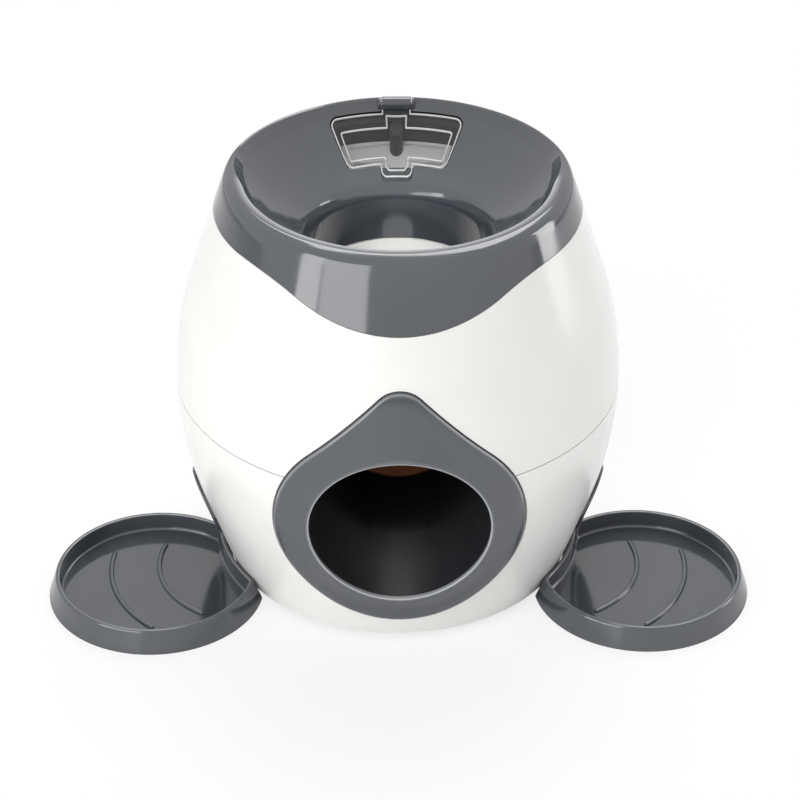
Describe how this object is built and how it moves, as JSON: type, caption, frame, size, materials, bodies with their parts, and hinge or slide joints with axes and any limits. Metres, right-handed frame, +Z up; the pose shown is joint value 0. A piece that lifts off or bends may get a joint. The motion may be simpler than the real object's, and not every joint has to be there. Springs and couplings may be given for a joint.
{
  "type": "pet ball machine",
  "caption": "Barrel-shaped treat-giving ball machine for dogs: a funnel takes the ball, a hidden flap opens the treat gates, the ball rolls out in front and side trays catch the treats.",
  "frame": {"origin": "on the floor, under the axis of the barrel-shaped body", "axes": "Z is up, the front opening faces -Y, the trays are to either side along X"},
  "size_m": [0.298, 0.1863, 0.1805],
  "materials": {
    "white_plastic": "moulded white plastic, glossy",
    "grey_plastic": "moulded slate-grey plastic, glossy",
    "inner_plastic": "moulded dark grey plastic, satin",
    "clear_plastic": "smoky clear plastic, polished",
    "brown_plastic": "moulded orange-brown plastic, satin",
    "nylon": "plain nylon",
    "steel": "plain steel",
    "foot_rubber": "soft black rubber"
  },
  "bodies": {
    "housing": {"base_plate": "inner_plastic", "rubber_feet": "foot_rubber", "base_screws": "steel", "lower_shell": "white_plastic", "upper_shell": "white_plastic", "funnel_bowl": "grey_plastic", "front_bezel": "grey_plastic", "side_bezel_left": "grey_plastic", "side_bezel_right": "grey_plastic", "ball_tunnel": "inner_plastic", "tunnel_cover": "white_plastic", "drop_tube": "white_plastic", "hopper_bin": "inner_plastic", "hopper_floor": "white_plastic", "hopper_post": "inner_plastic", "treat_chute_left": "white_plastic", "treat_chute_right": "white_plastic", "shaft_bushes": "nylon", "return_spring": "steel", "lid_hinge_pin": "steel"},
    "lid": {"clear_lid": "clear_plastic"},
    "rocker": {"trigger_flap": "brown_plastic", "rocker_shaft": "steel", "portion_gate_left": "brown_plastic", "portion_gate_right": "brown_plastic", "shaft_clips": "steel"},
    "tray_left_body": {"tray_left": "grey_plastic"},
    "tray_right_body": {"tray_right": "grey_plastic"}
  },
  "joints": [
    {"name": "lid_hinge", "type": "hinge", "parent": "housing", "child": "lid", "pos_m": [0, 0.0676, 0.1774], "axis": [-1, 0, 0], "range_deg": [0, 140]},
    {"name": "rocker_trip", "type": "hinge", "parent": "housing", "child": "rocker", "pos_m": [0, 0.052, 0.112], "axis": [1, 0, 0], "range_deg": [0, 17], "stiffness_Nm_per_rad": 0.02, "springref_deg": -20.05, "deforming": ["return_spring"]},
    {"name": "tray_left_pull", "type": "slide", "parent": "housing", "child": "tray_left_body", "axis": [-0.9385, -0.3453, 0], "range_m": [0, 0.06]},
    {"name": "tray_right_pull", "type": "slide", "parent": "housing", "child": "tray_right_body", "axis": [0.9385, -0.3453, 0], "range_m": [0, 0.06]}
  ]
}
